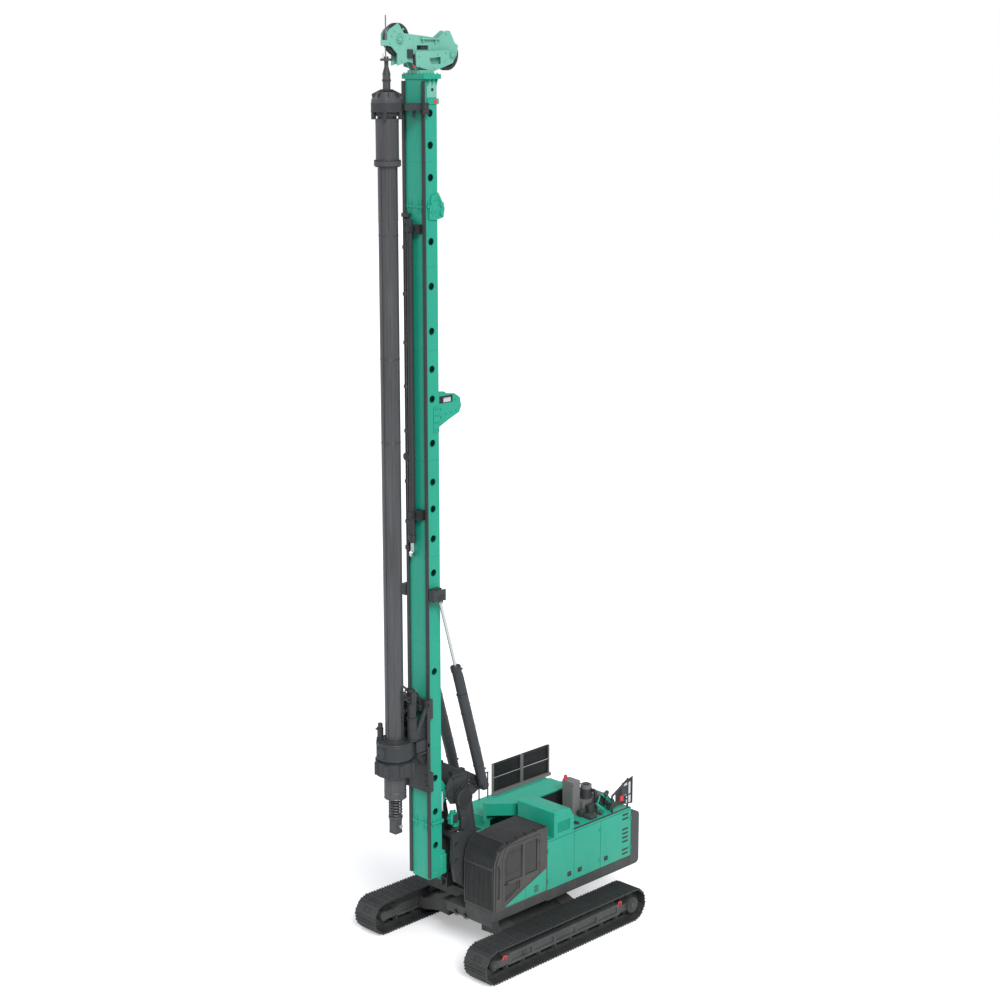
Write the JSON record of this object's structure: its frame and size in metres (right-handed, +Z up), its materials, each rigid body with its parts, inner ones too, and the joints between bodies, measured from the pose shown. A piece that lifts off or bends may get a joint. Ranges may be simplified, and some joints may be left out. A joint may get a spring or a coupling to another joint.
{
  "type": "rotary piling rig",
  "caption": "Tracked rotary piling rig with an upright box mast, kelly bar in a rotary drive, parallelogram linkage, slewing upper structure, cab and service doors.",
  "frame": {"origin": "on the ground under the slewing centre, named by the mount ground_under_slewing_centre", "axes": "+X to the machine's left, where the cab is; -Y to its front, where the mast stands; +Z up"},
  "size_m": [4.4, 7.045, 21.08],
  "materials": {
    "machine_green": "semi-gloss",
    "dark_grey_paint": "satin",
    "cab_grey": "satin",
    "track_steel": "worn",
    "cast_weight": "painted",
    "bright_steel": "polished",
    "kelly_steel": "dark oxide",
    "cab_glass": "clear",
    "seat_cloth": "woven",
    "engine_paint": "matt"
  },
  "bodies": {
    "undercarriage": {"car_body": "dark_grey_paint", "track_frame_left": "dark_grey_paint", "track_frame_right": "dark_grey_paint", "track_left": "track_steel", "track_right": "track_steel", "track_wheels": "track_steel"},
    "upper": {"slew_platform": "dark_grey_paint", "main_plates": "dark_grey_paint", "winch_frame": "dark_grey_paint", "left_house": "machine_green", "right_house": "machine_green", "cross_housing": "machine_green", "counterweight": "cast_weight", "engine_block": "engine_paint", "exhaust_box": "dark_grey_paint", "deck_rails": "dark_grey_paint", "guard_panels": "dark_grey_paint", "cab_shell": "cab_grey", "cab_side_panel": "machine_green", "cab_glass": "cab_glass", "cab_guard": "cab_grey", "operator_seat": "seat_cloth"},
    "winch": {"main_winch_drum": "track_steel"},
    "cab_door": {"cab_door": "cab_grey", "cab_door_glass": "cab_glass"},
    "service_door_1": {"service_door_1": "machine_green"},
    "service_door_2": {"service_door_2": "machine_green"},
    "service_door_3": {"service_door_3": "machine_green"},
    "boom": {"boom_arms": "dark_grey_paint", "boom_tube": "dark_grey_paint"},
    "head": {"head_frame": "dark_grey_paint"},
    "link_rods": {"link_rods": "dark_grey_paint"},
    "luff_barrel": {"luff_barrel": "dark_grey_paint"},
    "luff_rod": {"luff_rod": "bright_steel"},
    "mast": {"mast_lower": "machine_green", "mast_middle": "machine_green", "mast_upper": "machine_green", "mast_pivot_lugs": "machine_green", "mast_cylinder_brackets": "dark_grey_paint", "winch_bracket": "machine_green", "mast_rails": "dark_grey_paint", "crowd_barrel": "dark_grey_paint", "cathead": "machine_green"},
    "mast_cylinder_barrels": {"mast_cylinder_barrels": "dark_grey_paint"},
    "mast_cylinder_rods": {"mast_cylinder_rods": "bright_steel"},
    "carriage": {"crowd_sledge": "dark_grey_paint", "rotary_drive": "dark_grey_paint"},
    "crowd_rod": {"crowd_rod": "bright_steel"},
    "kelly_guide": {"kelly_guide": "dark_grey_paint", "rope_swivel": "kelly_steel"},
    "kelly_outer": {"kelly_outer": "kelly_steel"},
    "drive_sleeve": {"drive_sleeve": "kelly_steel"},
    "kelly_inner": {"kelly_inner": "kelly_steel", "kelly_spring": "kelly_steel"},
    "front_sheave": {"front_sheave": "track_steel"},
    "rear_sheave": {"rear_sheave": "track_steel"}
  },
  "joints": [
    {"name": "slew", "type": "hinge", "parent": "undercarriage", "child": "upper", "pos_m": [0, 0, 1], "axis": [0, 0, 1], "continuous": true},
    {"name": "winch_turn", "type": "hinge", "parent": "upper", "child": "winch", "pos_m": [0, 0.78, 1.8], "axis": [1, 0, 0], "continuous": true},
    {"name": "cab_door_swing", "type": "hinge", "parent": "upper", "child": "cab_door", "pos_m": [1.514, -0.256, 2.3], "axis": [0, 0, 1], "range_deg": [0, 88]},
    {"name": "service_door_1_swing", "type": "hinge", "parent": "upper", "child": "service_door_1", "pos_m": [1.514, 0.014, 1.9], "axis": [0, 0, -1], "range_deg": [0, 92]},
    {"name": "service_door_2_swing", "type": "hinge", "parent": "upper", "child": "service_door_2", "pos_m": [1.514, 1.836, 1.9], "axis": [0, 0, 1], "range_deg": [0, 100]},
    {"name": "service_door_3_swing", "type": "hinge", "parent": "upper", "child": "service_door_3", "pos_m": [1.514, 2.936, 1.9], "axis": [0, 0, 1], "range_deg": [0, 100]},
    {"name": "boom_luff", "type": "hinge", "parent": "upper", "child": "boom", "pos_m": [0, -1.35, 1.55], "axis": [1, 0, 0], "range_deg": [-5, 25]},
    {"name": "head_level", "type": "hinge", "parent": "boom", "child": "head", "pos_m": [0, -1.7, 3.8], "axis": [1, 0, 0], "range_deg": [-25.02, 5.02]},
    {"name": "link_rod_swing", "type": "hinge", "parent": "upper", "child": "link_rods", "pos_m": [0, -0.95, 1.61], "axis": [1, 0, 0], "range_deg": [-5.02, 25.02]},
    {"name": "luff_barrel_swing", "type": "hinge", "parent": "upper", "child": "luff_barrel", "pos_m": [0, -0.3, 1.52], "axis": [1, 0, 0], "range_deg": [-2.71, 13.45]},
    {"name": "luff_rod_slide", "type": "slide", "parent": "luff_barrel", "child": "luff_rod", "axis": [0, -0.6819, 0.7315], "range_m": [-0.0589, 0.2938]},
    {"name": "mast_tilt", "type": "hinge", "parent": "head", "child": "mast", "pos_m": [0, -1.98, 3.93], "axis": [1, 0, 0], "range_deg": [-90, 5]},
    {"name": "mast_barrel_swing", "type": "hinge", "parent": "head", "child": "mast_cylinder_barrels", "pos_m": [0, -1.05, 3.93], "axis": [1, 0, 0], "range_deg": [-106.87, 6.51]},
    {"name": "mast_rod_slide", "type": "slide", "parent": "mast_cylinder_barrels", "child": "mast_cylinder_rods", "axis": [0, -0.275, 0.9614], "range_m": [-1.1115, 0.0619]},
    {"name": "crowd_slide", "type": "slide", "parent": "mast", "child": "carriage", "axis": [0, 0, 1], "range_m": [-1.85, 2.75]},
    {"name": "crowd_rod_slide", "type": "slide", "parent": "mast", "child": "crowd_rod", "axis": [0, 0, 1], "range_m": [-2.85, 0]},
    {"name": "kelly_slide", "type": "slide", "parent": "mast", "child": "kelly_guide", "axis": [0, 0, 1], "range_m": [-1.9, 0]},
    {"name": "kelly_turn", "type": "hinge", "parent": "kelly_guide", "child": "kelly_outer", "pos_m": [0, -3.36, 10], "axis": [0, 0, 1], "continuous": true},
    {"name": "drive_turn", "type": "hinge", "parent": "carriage", "child": "drive_sleeve", "pos_m": [0, -3.36, 5], "axis": [0, 0, 1], "continuous": true},
    {"name": "kelly_extend", "type": "slide", "parent": "kelly_outer", "child": "kelly_inner", "axis": [0, 0, 1], "range_m": [-1.2, 0]},
    {"name": "front_sheave_turn", "type": "hinge", "parent": "mast", "child": "front_sheave", "pos_m": [0, -3.08, 20.6], "axis": [1, 0, 0], "continuous": true},
    {"name": "rear_sheave_turn", "type": "hinge", "parent": "mast", "child": "rear_sheave", "pos_m": [0, -1.68, 20.3], "axis": [1, 0, 0], "continuous": true}
  ],
  "couplings": [
    {"joint": "head_level", "follows": "boom_luff", "ratio": -1},
    {"joint": "link_rod_swing", "follows": "boom_luff", "ratio": 1},
    {"joint": "luff_barrel_swing", "follows": "boom_luff", "ratio": 0.5373},
    {"joint": "luff_rod_slide", "follows": "boom_luff", "m_per_rad": 0.6729},
    {"joint": "mast_barrel_swing", "follows": "mast_tilt", "ratio": 1.0983},
    {"joint": "mast_rod_slide", "follows": "mast_tilt", "m_per_rad": 0.7075},
    {"joint": "drive_turn", "follows": "kelly_turn", "ratio": 1}
  ]
}
